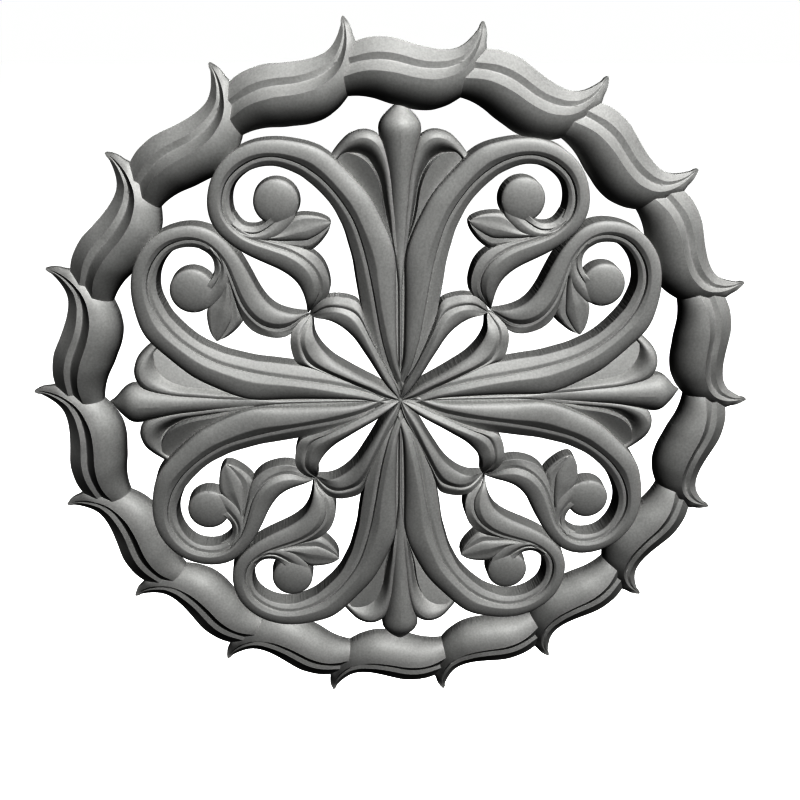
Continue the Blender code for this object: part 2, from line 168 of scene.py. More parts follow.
def loft(name, rails, sections, depth, walls=1, draft=(0.0, 0.0)):
    """Closed solid under rails that run side by side; its sides drop to `depth`, leaning out by `draft`."""
    grid = [rails[0]]
    patch = []
    for j, (xs, zs) in enumerate(sections):
        a, b = rails[j], rails[j + 1]
        for q in range(1, len(xs)):
            row = a.copy()
            row[:, :2] = a[:, :2] + (b[:, :2] - a[:, :2]) * xs[q]
            row[:, 2] = a[:, 2] + (b[:, 2] - a[:, 2]) * zs[q]
            grid.append(row)
            patch.append(j)
    def side(top, inner, lean):
        out = top[:, :2] - inner[:, :2]
        out = out / np.maximum(np.linalg.norm(out, axis=1), 1e-6)[:, None] * (np.ones(len(out)) * lean)[:, None]
        return [np.column_stack([top[:, :2] + out * (w / walls), top[:, 2] + (depth - top[:, 2]) * w / walls])
                for w in range(1, walls + 1)]
    left = side(grid[0], grid[1], draft[0])[::-1]
    right = side(grid[-1], grid[-2], draft[1])
    grid = left + grid + right
    ids = [90] * walls + patch + [91] * walls
    n, m = len(grid[0]), len(grid)
    bm = bmesh.new()
    layer = bm.faces.layers.int.new("patch")
    base = PATCH[0] * 100
    PATCH[0] += 1
    v = [[bm.verts.new(grid[j][i]) for j in range(m)] for i in range(n)]
    for i in range(n - 1):
        for j in range(m - 1):
            f = bm.faces.new((v[i][j], v[i + 1][j], v[i + 1][j + 1], v[i][j + 1]))
            f[layer] = base + ids[j]
        f = bm.faces.new((v[i][m - 1], v[i + 1][m - 1], v[i + 1][0], v[i][0]))
        f[layer] = base + 92
    for i in (0, n - 1):
        f = bm.faces.new(v[i])
        f[layer] = base + 93
    bmesh.ops.remove_doubles(bm, verts=bm.verts, dist=1e-6)
    bmesh.ops.triangulate(bm, faces=bm.faces)
    bmesh.ops.recalc_face_normals(bm, faces=bm.faces)
    me = bpy.data.meshes.new(name)
    bm.to_mesh(me)
    bm.free()
    return me


def turned(name, centre, profile, depth, sides, foot=0.0):
    """Round boss from a profile of (radius, height), outermost first."""
    bm = bmesh.new()
    layer = bm.faces.layers.int.new("patch")
    base = PATCH[0] * 100
    PATCH[0] += 1
    rows = [(profile[0][0] + foot, depth)] + list(profile)
    rings = [[bm.verts.new((centre[0] + r * math.cos(2 * math.pi * k / sides),
                            centre[1] + r * math.sin(2 * math.pi * k / sides), z)) for k in range(sides)]
             for r, z in rows[:-1]]
    peak = bm.verts.new((centre[0], centre[1], rows[-1][1]))
    for q, (lower, upper) in enumerate(zip(rings, rings[1:])):
        for k in range(sides):
            f = bm.faces.new((lower[k], lower[(k + 1) % sides], upper[(k + 1) % sides], upper[k]))
            f[layer] = base + (90 if q == 0 else 1)
    for k in range(sides):
        f = bm.faces.new((rings[-1][k], rings[-1][(k + 1) % sides], peak))
        f[layer] = base + 1
    f = bm.faces.new(rings[0][::-1])
    f[layer] = base + 92
    bmesh.ops.triangulate(bm, faces=bm.faces)
    bmesh.ops.recalc_face_normals(bm, faces=bm.faces)
    me = bpy.data.meshes.new(name)
    bm.to_mesh(me)
    bm.free()
    return me


# ------------------------------------------------------------------ scrollwork
# main scroll, along its outer edge: x, y, edge height,
# crest offset, crest height, groove offset, groove height, inner edge offset, inner edge height
SCROLL = (
    (0.0300, -0.0210, 0.0400, 0.0100, 0.0500, 0.0200, 0.0510, 0.0500, 0.0360),
    (0.0500, -0.0120, 0.0430, 0.0060, 0.0530, 0.0190, 0.0510, 0.0520, 0.0370),
    (0.1000, 0.0030, 0.0530, 0.0085, 0.0625, 0.0254, 0.0570, 0.0565, 0.0490),
    (0.1500, 0.0080, 0.0555, 0.0150, 0.0685, 0.0355, 0.0605, 0.0685, 0.0525),
    (0.2000, 0.0095, 0.0545, 0.0240, 0.0695, 0.0454, 0.0605, 0.0805, 0.0525),
    (0.3000, 0.0105, 0.0515, 0.0395, 0.0700, 0.0611, 0.0605, 0.0977, 0.0515),
    (0.3600, 0.0100, 0.0535, 0.0455, 0.0700, 0.0724, 0.0605, 0.1070, 0.0515),
    (0.4000, 0.0120, 0.0555, 0.0488, 0.0700, 0.0773, 0.0605, 0.1095, 0.0515),
    (0.4400, 0.0215, 0.0565, 0.0492, 0.0700, 0.0773, 0.0605, 0.1090, 0.0525),
    (0.4800, 0.0370, 0.0535, 0.0485, 0.0700, 0.0738, 0.0605, 0.1055, 0.0535),
    (0.5200, 0.0560, 0.0515, 0.0465, 0.0695, 0.0693, 0.0605, 0.0995, 0.0545),
    (0.5600, 0.0790, 0.0510, 0.0440, 0.0695, 0.0675, 0.0605, 0.0967, 0.0545),
    (0.6000, 0.1120, 0.0505, 0.0410, 0.0690, 0.0629, 0.0605, 0.0893, 0.0545),
    (0.6400, 0.1510, 0.0525, 0.0385, 0.0685, 0.0594, 0.0605, 0.0863, 0.0545),
    (0.6799, 0.2000, 0.0565, 0.0370, 0.0685, 0.0604, 0.0605, 0.0860, 0.0545),
    (0.6991, 0.2602, 0.0575, 0.0325, 0.0675, 0.0513, 0.0605, 0.0765, 0.0535),
    (0.7050, 0.3100, 0.0580, 0.0300, 0.0675, 0.0452, 0.0605, 0.0679, 0.0525),
    (0.7010, 0.3598, 0.0580, 0.0275, 0.0675, 0.0431, 0.0605, 0.0647, 0.0525),
    (0.6811, 0.4119, 0.0580, 0.0250, 0.0675, 0.0425, 0.0605, 0.0613, 0.0525),
    (0.6430, 0.4577, 0.0580, 0.0235, 0.0675, 0.0407, 0.0605, 0.0579, 0.0535),
    (0.5990, 0.4832, 0.0580, 0.0235, 0.0675, 0.0391, 0.0605, 0.0561, 0.0535),
    (0.5499, 0.4936, 0.0580, 0.0250, 0.0675, 0.0389, 0.0605, 0.0579, 0.0535),
    (0.5090, 0.4895, 0.0575, 0.0270, 0.0675, 0.0391, 0.0605, 0.0587, 0.0545),
    (0.4750, 0.4735, 0.0575, 0.0275, 0.0675, 0.0390, 0.0605, 0.0565, 0.0555),
    (0.4450, 0.4455, 0.0567, 0.0270, 0.0675, 0.0395, 0.0605, 0.0525, 0.0555),
    (0.4200, 0.4120, 0.0560, 0.0290, 0.0675, 0.0415, 0.0605, 0.0605, 0.0565),
    (0.4000, 0.3755, 0.0550, 0.0335, 0.0675, 0.0471, 0.0605, 0.0685, 0.0575),
    (0.3850, 0.3440, 0.0540, 0.0370, 0.0675, 0.0521, 0.0605, 0.0755, 0.0575),
    (0.3702, 0.3148, 0.0530, 0.0395, 0.0675, 0.0569, 0.0605, 0.0805, 0.0575),
    (0.3391, 0.2761, 0.0515, 0.0385, 0.0675, 0.0591, 0.0605, 0.0815, 0.0575),
    (0.2997, 0.2569, 0.0475, 0.0240, 0.0590, 0.0438, 0.0530, 0.0640, 0.0460),
    (0.2700, 0.2510, 0.0390, 0.0097, 0.0460, 0.0178, 0.0430, 0.0300, 0.0360),
    (0.2480, 0.2475, 0.0200, 0.0010, 0.0220, 0.0020, 0.0220, 0.0040, 0.0200),
)
CHAMFER = 0.477                    # fall of the scroll's two plain facets
SCROLL_SPLIT = (0.468, 0.469)      # where the loop's inner band ends and the S begins


def rounded(edge, inner, back, up):
    """Rail set back from an outline towards a rail inside it, and raised."""
    d = inner[:, :2] - edge[:, :2]
    size = np.linalg.norm(d, axis=1)
    r = edge.copy()
    r[:, :2] += d / np.maximum(size, 1e-6)[:, None] * np.minimum(back, 0.4 * size)[:, None]
    r[:, 2] += up
    return r


def scroll_parts():
    c = even(SCROLL, 150)
    xy, ze = c[:, 0:2], c[:, 2]
    co, zc, go, zg, io, zi = c[:, 3], c[:, 4], c[:, 5], c[:, 6], c[:, 7], c[:, 8]
    nrm = left_of(xy)
    out = []
    # outer dome and first chamfer, full length
    k = np.clip(go / 0.03, 0, 1)
    inset = np.minimum(0.0022, 0.25 * co)
    crest, end = co + 0.0035 * k, go - 0.0022 * k
    step = zg - 0.0038
    rails = [at(xy + nrm * inset[:, None], ze), at(xy + nrm * crest[:, None], zc),
             at(xy + nrm * end[:, None], np.maximum(zc - CHAMFER * 0.875 * (end - crest), step + 0.0020)),
             at(xy + nrm * (go + 0.0008 * k)[:, None], step - 0.0010)]
    out.append(loft("scroll_outer", rails, [dome(7, 2.0), facet(5, 0.28), flat(1)], -SINK, draft=(0.0040, 0.0)))
    # inner band of the stem and loop
    cut = int(np.argmin(np.hypot(xy[:, 0] - SCROLL_SPLIT[0], xy[:, 1] - SCROLL_SPLIT[1])))
    a = slice(5, cut + 1)
    e = nrm[a]
    shelf, top = go[a] + 0.0080, io[a] - 0.0016
    zi = step[a] - CHAMFER * 0.9 * np.maximum(top - shelf, 0.003)
    rails = [at(xy[a] + e * (go[a] - 0.0030)[:, None], step[a] - 0.0002),
             at(xy[a] + e * shelf[:, None], step[a] + 0.0002),
             at(xy[a] + e * top[:, None], zi),
             at(xy[a] + e * (top + 0.0022)[:, None], zi - 0.0035)]
    out.append(loft("scroll_inner", rails, [flat(1), facet(4, 0.22), dome_down(2)], -SINK * 1.03, draft=(0.0, 0.0044)))
    # outer bead of the S
    b = slice(cut + 2, len(xy) - 1)
    s = np.linspace(0.0, 1.0, len(xy[b]))
    gap = even(S_GAP, len(xy[b]))
    fade = np.clip((1.0 - s) / 0.2, 0, 1)
    bead = at(xy[b] + nrm[b] * (go[b] + 0.0068)[:, None], step[b] + 0.0012)
    rails = [at(xy[b] + nrm[b] * (go[b] - 0.0030)[:, None], step[b] - 0.0004),
             at(xy[b] + nrm[b] * (go[b] + 0.0036)[:, None], step[b] + 0.0006),
             bead + (gap - bead) * (0.5 * (1 - fade))[:, None],
             rounded(gap, bead, 0.0050, -0.0005), rounded(gap, bead, 0.0024, -0.0050)]
    out.append(loft("scroll_bead", rails, [flat(1), flat(1), facet(4, 0.3), dome_down(2)], -SINK * 1.06, draft=(0.0, 0.0040)))
    return out


# outer edge of the S on the side of the big opening: x, y, height
S_GAP = (
    (0.4830, 0.4000, 0.0465), (0.4660, 0.3750, 0.0465), (0.4530, 0.3480, 0.0465), (0.4440, 0.3180, 0.0465), (0.4370, 0.2850, 0.0465),
    (0.4290, 0.2580, 0.0485), (0.4200, 0.2360, 0.0505), (0.4100, 0.2205, 0.0515), (0.3940, 0.2052, 0.0525), (0.3780, 0.1960, 0.0525),
    (0.3604, 0.1898, 0.0525), (0.3400, 0.1855, 0.0520), (0.3199, 0.1852, 0.0515), (0.3000, 0.1900, 0.0485), (0.2900, 0.1965, 0.0450),
    (0.2800, 0.2065, 0.0410), (0.2690, 0.2205, 0.0350), (0.2600, 0.2340, 0.0290), (0.2500, 0.2465, 0.0210),
)

# volute, three rails from its root to the ball: outer edge, groove, inner edge
VOLUTE_OUT = ((0.5200, 0.4620, 0.0455), (0.4950, 0.4520, 0.0455), (0.4650, 0.4250, 0.0465), (0.4520, 0.4000, 0.0475),
              (0.4460, 0.3750, 0.0485), (0.4470, 0.3450, 0.0495), (0.4520, 0.3280, 0.0495), (0.4640, 0.3080, 0.0495),
              (0.4820, 0.2885, 0.0495), (0.5000, 0.2735, 0.0495), (0.5200, 0.2665, 0.0505), (0.5450, 0.2595, 0.0525))
VOLUTE_GROOVE = ((0.5200, 0.4555, 0.0545), (0.4980, 0.4415, 0.0545), (0.4814, 0.4236, 0.0545), (0.4720, 0.4050, 0.0545),
                 (0.4675, 0.3850, 0.0545), (0.4700, 0.3650, 0.0545), (0.4788, 0.3472, 0.0545), (0.4900, 0.3310, 0.0545),
                 (0.5020, 0.3160, 0.0550), (0.5150, 0.3020, 0.0565), (0.5300, 0.2940, 0.0575), (0.5450, 0.2900, 0.0585))
VOLUTE_IN = ((0.5200, 0.4270, 0.0455), (0.5060, 0.4190, 0.0455), (0.4950, 0.4090, 0.0460), (0.4885, 0.3970, 0.0465),
             (0.4866, 0.3820, 0.0475), (0.4885, 0.3670, 0.0495), (0.4965, 0.3510, 0.0525), (0.5070, 0.3390, 0.0555),
             (0.5180, 0.3290, 0.0565), (0.5290, 0.3220, 0.0575), (0.5400, 0.3180, 0.0585), (0.5500, 0.3160, 0.0585))


def volute_parts():
    n = 44
    a, g, b = even(VOLUTE_OUT, n), even(VOLUTE_GROOVE, n), even(VOLUTE_IN, n)
    crest = a.copy()
    crest[:, :2] = a[:, :2] + (g[:, :2] - a[:, :2]) * 0.62
    s = np.linspace(0.0, 1.0, n)
    crest[:, 2] = 0.0590 - 0.0050 * np.clip((s - 0.60) / 0.30, 0, 1)
    lip = g.copy()
    d = b[:, :2] - g[:, :2]
    lip[:, :2] = g[:, :2] + d * 0.16
    fade = np.clip((np.linspace(0, 1, n) - 0.62) / 0.2, 0, 1)
    lip[:, 2] = g[:, 2] + 0.0018 * (1 - fade)
    low = g.copy()
    low[:, 2] -= 0.0008 * (1 - fade)
    for rail in (g, low, lip, b):
        rail[:, 2] -= 0.0015 * np.clip((s - 0.60) / 0.30, 0, 1)
    return [loft("volute", [rounded(a, crest, 0.0018, 0.0), crest, low, lip, rounded(b, lip, 0.0045, 0.0015), rounded(b, lip, 0.0016, -0.0028)],
                 [dome(6, 2.0), facet(4, 0.35), flat(1), facet(4, 0.3), dome_down(2)], -SINK * 1.09, draft=(0.0033, 0.0031))]


BALL = (0.547, 0.3182)
BALL_PROFILE = ((0.0584, 0.0455), (0.0580, 0.0478), (0.0570, 0.0500), (0.0552, 0.0520), (0.0522, 0.0537), (0.0478, 0.0553), (0.0430, 0.0566),
                (0.0364, 0.0581), (0.0284, 0.0594), (0.0184, 0.0604), (0.0094, 0.0609), (0.0000, 0.0611))

# leaf, left and right outline from its root to its tip
LEAF_A = ((0.4501, 0.3607, 0.0360), (0.4351, 0.3206, 0.0360), (0.4271, 0.2855, 0.0360), (0.4195, 0.2563, 0.0370), (0.4185, 0.2356, 0.0380), (0.4274, 0.2208, 0.0400),
          (0.4371, 0.2101, 0.0410), (0.4488, 0.1999, 0.0415), (0.4630, 0.1898, 0.0415), (0.4773, 0.1831, 0.0410), (0.4905, 0.1800, 0.0400))
LEAF_E = ((0.4619, 0.3605, 0.0400), (0.4659, 0.3457, 0.0400), (0.4778, 0.3159, 0.0400), (0.4936, 0.2912, 0.0400), (0.5087, 0.2741, 0.0400), (0.5140, 0.2603, 0.0405),
          (0.5145, 0.2419, 0.0410), (0.5115, 0.2166, 0.0412), (0.5059, 0.1983, 0.0410), (0.5002, 0.1879, 0.0405), (0.4930, 0.1800, 0.0400))


def leaf_parts():
    """Narrow low facet, a small step, a broad rounded facet, a shallow furrow and a soft right facet."""
    n = 30
    a, e = even(LEAF_A, n), even(LEAF_E, n)
    t = np.linspace(0, 1, n)
    w = np.clip((1.0 - t) / 0.50, 0, 1) ** 0.8

    def between(share, z):
        m = a + (e - a) * share
        m[:, 2] = z
        return m
    a[:, 2] = 0.0445 - 0.0015 * w
    e[:, 2] = 0.0445 + 0.0020 * w
    rails = [a, between(0.17, 0.0470 + 0.0020 * w), between(0.32, 0.0465 + 0.0015 * w), between(0.345, 0.0467 + 0.0045 * w),
             between(0.56, 0.0470 + 0.0100 * w), between(0.78, 0.0468 + 0.0068 * w), between(0.88, 0.0468 + 0.0062 * w), e]
    low = a.copy()
    low[:, 2] -= 0.0060
    rails = [rounded(low, e, 0.0015, 0.0), rounded(a, e, 0.0060, 0.0)] + rails[1:-1] + [rounded(e, a, 0.0012, 0.0)]
    return [loft("leaf", rails, [dome(2), dome(2), flat(1), flat(1), dome(4, 1.5), ease(4), ease(2), dome_down(3, 1.6)],
                 -SINK * 1.12, draft=(0.0045, 0.0030))]


# petal, rails from the middle out to the meeting point on the diagonal
PETAL_EDGE = ((0.0030, 0.0060, 0.0420), (0.0250, 0.0260, 0.0450), (0.0499, 0.0452, 0.0460), (0.0748, 0.0605, 0.0490), (0.0997, 0.0744, 0.0515),
              (0.1248, 0.0890, 0.0530), (0.1497, 0.1044, 0.0540), (0.1747, 0.1204, 0.0535), (0.1972, 0.1398, 0.0530), (0.2145, 0.1602, 0.0525),
              (0.2267, 0.1811, 0.0515), (0.2332, 0.2016, 0.0495), (0.2336, 0.2188, 0.0415), (0.2340, 0.2310, 0.0290), (0.2385, 0.2400, 0.0200))
PETAL_CREST = ((0.0040, 0.0030, 0.0520), (0.0280, 0.0165, 0.0610), (0.0550, 0.0325, 0.0660), (0.0820, 0.0470, 0.0695), (0.1090, 0.0600, 0.0720),
               (0.1360, 0.0730, 0.0735), (0.1630, 0.0860, 0.0740), (0.1890, 0.0985, 0.0730), (0.2140, 0.1130, 0.0700), (0.2350, 0.1300, 0.0660),
               (0.2500, 0.1530, 0.0620), (0.2545, 0.1790, 0.0585), (0.2510, 0.2020, 0.0500), (0.2430, 0.2200, 0.0380), (0.2400, 0.2400, 0.0200))
PETAL_GROOVE = ((0.0050, 0.0010, 0.0500), (0.0310, 0.0080, 0.0570), (0.0600, 0.0200, 0.0610), (0.0880, 0.0350, 0.0630), (0.1171, 0.0489, 0.0645),
                (0.1440, 0.0625, 0.0660), (0.1710, 0.0755, 0.0665), (0.1987, 0.0890, 0.0660), (0.2270, 0.1025, 0.0620), (0.2500, 0.1195, 0.0580),
                (0.2640, 0.1470, 0.0550), (0.2695, 0.1780, 0.0545), (0.2650, 0.2030, 0.0470), (0.2520, 0.2240, 0.0360), (0.2410, 0.2405, 0.0200))
PETAL_OUT = ((0.0060, -0.0030, 0.0420), (0.0340, 0.0030, 0.0490), (0.0660, 0.0180, 0.0540), (0.0950, 0.0345, 0.0515), (0.1260, 0.0500, 0.0520),
             (0.1560, 0.0640, 0.0515), (0.1870, 0.0770, 0.0505), (0.2180, 0.0895, 0.0485), (0.2540, 0.1010, 0.0455), (0.2800, 0.1130, 0.0480),
             (0.2925, 0.1400, 0.0475), (0.2965, 0.1760, 0.0475), (0.2880, 0.2080, 0.0420), (0.2680, 0.2300, 0.0330), (0.2430, 0.2420, 0.0200))


def petal_parts():
    n = 56
    a, c, g, o = (even(r, n) for r in (PETAL_EDGE, PETAL_CREST, PETAL_GROOVE, PETAL_OUT))
    low = g.copy()
    low[:, 2] -= 0.0012
    lip = g + (o - g) * 0.22
    lip[:, 2] = g[:, 2] + 0.0008
    return [loft("petal", [rounded(a, c, 0.0024, 0.0), c, low, lip, o], [dome(7, 2.0), facet(4, 0.35), flat(1), facet(4, 0.3)], -SINK * 1.15, draft=(0.0050, 0.0))]


# finial: long drop on the axis: x, half width, edge height, crest height
DROP = (
    (0.0500, 0.0045, 0.0350, 0.0470),
    (0.1000, 0.0045, 0.0350, 0.0465),
    (0.2000, 0.0050, 0.0350, 0.0455),
    (0.3000, 0.0055, 0.0350, 0.0455),
    (0.3500, 0.0080, 0.0350, 0.0460),
    (0.4000, 0.0130, 0.0360, 0.0445),
    (0.4500, 0.0165, 0.0370, 0.0460),
    (0.5000, 0.0195, 0.0370, 0.0490),
    (0.5500, 0.0240, 0.0350, 0.0525),
    (0.6000, 0.0290, 0.0330, 0.0565),
    (0.6500, 0.0378, 0.0310, 0.0615),
    (0.6900, 0.0473, 0.0250, 0.0650),
    (0.7150, 0.0533, 0.0240, 0.0665),
    (0.7350, 0.0528, 0.0230, 0.0650),
    (0.7500, 0.0458, 0.0205, 0.0581),
    (0.7620, 0.0358, 0.0170, 0.0487),
    (0.7720, 0.0250, 0.0190, 0.0407),
    (0.7800, 0.0160, 0.0140, 0.0335),
    (0.7880, 0.0085, 0.0100, 0.0225),
    (0.7950, 0.0030, 0.0070, 0.0130),
    (0.8000, 0.0006, 0.0050, 0.0070),
)


def drop_parts():
    c = even(DROP, 66)
    x, w, ze, zc = c.T
    a, m, b = np.column_stack([x, -w, ze]), np.column_stack([x, 0 * w, zc]), np.column_stack([x, w, ze])
    return loft("drop", [a, m, b], [dome(8, 2.0), dome_down(8, 2.0)], -SINK * 1.18)


# side lobe of the finial: thin rim beside the drop, scooped floor, raised outer border
LOBE_RIM = ((0.4000, 0.0060, 0.0420), (0.4600, 0.0120, 0.0450), (0.5000, 0.0150, 0.0460), (0.5500, 0.0200, 0.0465), (0.6000, 0.0245, 0.0465), (0.6500, 0.0330, 0.0460),
            (0.6910, 0.0440, 0.0415), (0.7085, 0.0532, 0.0320), (0.7185, 0.0682, 0.0230), (0.7230, 0.0882, 0.0185), (0.7205, 0.1082, 0.0150),
            (0.7128, 0.1278, 0.0120), (0.6995, 0.1442, 0.0095), (0.6795, 0.1622, 0.0080), (0.6465, 0.1852, 0.0070))
LOBE_LIP = ((0.4040, 0.0110, 0.0420), (0.4600, 0.0195, 0.0460), (0.5000, 0.0215, 0.0475), (0.5500, 0.0262, 0.0480), (0.6000, 0.0305, 0.0490), (0.6470, 0.0390, 0.0505),
            (0.6800, 0.0530, 0.0525), (0.6930, 0.0640, 0.0535), (0.7010, 0.0760, 0.0535), (0.7045, 0.0910, 0.0525), (0.7020, 0.1080, 0.0500),
            (0.6950, 0.1240, 0.0460), (0.6840, 0.1390, 0.0405), (0.6670, 0.1560, 0.0340), (0.6380, 0.1780, 0.0280))
LOBE_FLOOR = ((0.4080, 0.0150, 0.0350), (0.4600, 0.0250, 0.0275), (0.5000, 0.0330, 0.0230), (0.5500, 0.0420, 0.0210), (0.5970, 0.0510, 0.0205), (0.6300, 0.0660, 0.0210),
              (0.6510, 0.0800, 0.0235), (0.6600, 0.0920, 0.0260), (0.6650, 0.1020, 0.0275), (0.6670, 0.1130, 0.0285), (0.6660, 0.1240, 0.0275),
              (0.6640, 0.1340, 0.0260), (0.6580, 0.1460, 0.0240), (0.6480, 0.1590, 0.0220), (0.6200, 0.1740, 0.0200))
# inner leaf of the finial: thin rim above the lobe's floor, then a face that sinks towards the scroll
INNER_RIM = ((0.4200, 0.0120, 0.0329), (0.4700, 0.0301, 0.0361), (0.4950, 0.0377, 0.0386), (0.5200, 0.0432, 0.0411), (0.5470, 0.0467, 0.0444), (0.5700, 0.0501, 0.0470), (0.6000, 0.0582, 0.0494),
             (0.6280, 0.0717, 0.0498), (0.6445, 0.0854, 0.0481), (0.6555, 0.1000, 0.0450), (0.6625, 0.1150, 0.0413), (0.6657, 0.1306, 0.0371), (0.6650, 0.1487, 0.0315), (0.6585, 0.1696, 0.0245))
INNER_LINE = ((0.4210, 0.0150, 0.0322), (0.4680, 0.0339, 0.0346), (0.4920, 0.0422, 0.0367), (0.5170, 0.0482, 0.0391), (0.5440, 0.0520, 0.0423), (0.5660, 0.0555, 0.0448), (0.5950, 0.0637, 0.0470),
              (0.6220, 0.0767, 0.0474), (0.6380, 0.0902, 0.0458), (0.6490, 0.1038, 0.0431), (0.6558, 0.1179, 0.0397), (0.6590, 0.1325, 0.0357), (0.6583, 0.1496, 0.0305), (0.6515, 0.1695, 0.0237))
INNER_ROOT = ((0.4200, 0.0200, 0.0305), (0.4550, 0.0450, 0.0286), (0.4750, 0.0560, 0.0285), (0.5000, 0.0680, 0.0289), (0.5200, 0.0800, 0.0285), (0.5400, 0.0910, 0.0284), (0.5600, 0.1030, 0.0280),
              (0.5800, 0.1150, 0.0276), (0.5950, 0.1260, 0.0267), (0.6060, 0.1370, 0.0252), (0.6160, 0.1480, 0.0235), (0.6240, 0.1590, 0.0214), (0.6300, 0.1690, 0.0194), (0.6360, 0.1790, 0.0174))
# low web that joins the two halves of an arm beside its ridge: x, half width, height
WEB = ((0.060, 0.016, 0.0335), (0.120, 0.018, 0.0345), (0.220, 0.020, 0.0350), (0.340, 0.020, 0.0345), (0.420, 0.022, 0.0330))


def lobe_parts():
    n = 52
    rim, lip, floor = (even(r, n) for r in (LOBE_RIM, LOBE_LIP, LOBE_FLOOR))
    root = floor.copy()
    root[:, 0] -= 0.05
    root[:, 1] += 0.012
    root[:, 2] -= 0.014
    side = loft("lobe", [rim, lip, floor, root], [dome(4), shoulder(7, 0.80, 0.3), flat(1)], -SINK * 1.21)
    r, line, base = (even(x, n) for x in (INNER_RIM, INNER_LINE, INNER_ROOT))
    foot = r.copy()
    out = r[:, :2] - line[:, :2]
    foot[:, :2] += out / np.maximum(np.linalg.norm(out, axis=1), 1e-6)[:, None] * 0.0040
    foot[:, 2] -= 0.0150
    inner = loft("inner_leaf", [foot, r, line, base], [flat(1), flat(1), flat(2)], -SINK * 1.24)
    return [side, inner]


def web():
    c = even(WEB, 12)
    x, w, z = c.T
    return loft("web", [np.column_stack([x, -w, z]), np.column_stack([x, w, z])], [flat(1)], -SINK * 1.20)


# ------------------------------------------------------------------ wreath
# one wreath leaf in polar form: degrees back from the tip, radius, height
RING_IN = ((23.00, 0.8115, 0.0180), (22.00, 0.8140, 0.0180), (20.00, 0.8125, 0.0180), (18.00, 0.8070, 0.0180), (16.00, 0.7980, 0.0180), (14.00, 0.7870, 0.0180), (12.00, 0.7795, 0.0180),
           (10.00, 0.7730, 0.0180), (8.00, 0.7710, 0.0180), (6.00, 0.7740, 0.0180), (4.50, 0.7815, 0.0180), (3.00, 0.7925, 0.0180), (2.00, 0.8035, 0.0180),
           (1.20, 0.8140, 0.0180), (0.60, 0.8275, 0.0180), (0.10, 0.8445, 0.0180), (-0.35, 0.8680, 0.0180), (-0.70, 0.8930, 0.0180), (-1.05, 0.9200, 0.0170),
           (-1.35, 0.9380, 0.0155), (-1.10, 0.9520, 0.0130), (-0.98, 0.9670, 0.0110), (-0.68, 0.9840, 0.0105), (-0.12, 0.9996, 0.0105))
RING_C1 = ((23.00, 0.8560, 0.0440), (22.00, 0.8600, 0.0480), (20.50, 0.8636, 0.0566), (19.00, 0.8675, 0.0639), (17.00, 0.8690, 0.0710), (15.00, 0.8659, 0.0760), (13.00, 0.8609, 0.0778),
           (11.00, 0.8540, 0.0778), (9.00, 0.8490, 0.0771), (7.00, 0.8480, 0.0748), (5.50, 0.8510, 0.0715), (4.00, 0.8590, 0.0664), (3.00, 0.8665, 0.0625),
           (2.20, 0.8756, 0.0580), (1.60, 0.8850, 0.0535), (1.10, 0.8960, 0.0490), (0.70, 0.9080, 0.0440), (0.35, 0.9210, 0.0380), (0.10, 0.9350, 0.0315),
           (-0.05, 0.9490, 0.0255), (-0.12, 0.9620, 0.0200), (-0.12, 0.9750, 0.0145), (-0.06, 0.9880, 0.0105), (0.00, 1.0000, 0.0105))
RING_G = ((23.00, 0.8800, 0.0310), (22.00, 0.8860, 0.0330), (20.50, 0.8885, 0.0370), (19.00, 0.8915, 0.0410), (17.00, 0.8932, 0.0450), (15.00, 0.8925, 0.0475), (13.00, 0.8880, 0.0475),
          (11.00, 0.8805, 0.0468), (9.00, 0.8745, 0.0468), (7.00, 0.8730, 0.0440), (5.50, 0.8755, 0.0405), (4.00, 0.8815, 0.0360), (3.00, 0.8890, 0.0335),
          (2.30, 0.8965, 0.0320), (1.75, 0.9055, 0.0305), (1.30, 0.9140, 0.0290), (0.92, 0.9240, 0.0265), (0.60, 0.9350, 0.0240), (0.36, 0.9460, 0.0210),
          (0.19, 0.9570, 0.0180), (0.09, 0.9680, 0.0150), (0.03, 0.9790, 0.0115), (0.00, 0.9900, 0.0105), (0.00, 1.0000, 0.0105))
RING_C2 = ((23.00, 0.8960, 0.0320), (22.00, 0.8990, 0.0340), (20.50, 0.9025, 0.0385), (19.00, 0.9050, 0.0428), (17.00, 0.9092, 0.0465), (15.00, 0.9092, 0.0490), (13.00, 0.9050, 0.0490),
           (11.00, 0.8975, 0.0482), (9.00, 0.8904, 0.0480), (7.00, 0.8886, 0.0450), (5.50, 0.8910, 0.0415), (4.00, 0.8965, 0.0370), (3.10, 0.9030, 0.0345),
           (2.40, 0.9090, 0.0328), (1.90, 0.9160, 0.0312), (1.50, 0.9240, 0.0296), (1.12, 0.9330, 0.0270), (0.80, 0.9430, 0.0242), (0.54, 0.9530, 0.0212),
           (0.35, 0.9625, 0.0182), (0.21, 0.9720, 0.0150), (0.11, 0.9815, 0.0115), (0.04, 0.9910, 0.0105), (0.00, 1.0000, 0.0105))
RING_OUT = ((23.00, 0.9080, 0.0180), (22.00, 0.9180, 0.0185), (20.50, 0.9290, 0.0195), (19.00, 0.9370, 0.0205), (17.00, 0.9442, 0.0215), (15.00, 0.9445, 0.0233), (13.00, 0.9411, 0.0246),
            (11.00, 0.9320, 0.0260), (9.00, 0.9245, 0.0230), (7.00, 0.9200, 0.0196), (5.50, 0.9195, 0.0178), (4.20, 0.9220, 0.0172), (3.30, 0.9265, 0.0165),
            (2.70, 0.9320, 0.0160), (2.25, 0.9375, 0.0155), (1.85, 0.9440, 0.0148), (1.50, 0.9510, 0.0138), (1.18, 0.9590, 0.0126), (0.88, 0.9670, 0.0113),
            (0.63, 0.9750, 0.0105), (0.40, 0.9830, 0.0105), (0.36, 0.9900, 0.0105), (0.24, 0.9960, 0.0105), (0.12, 0.9996, 0.0105))


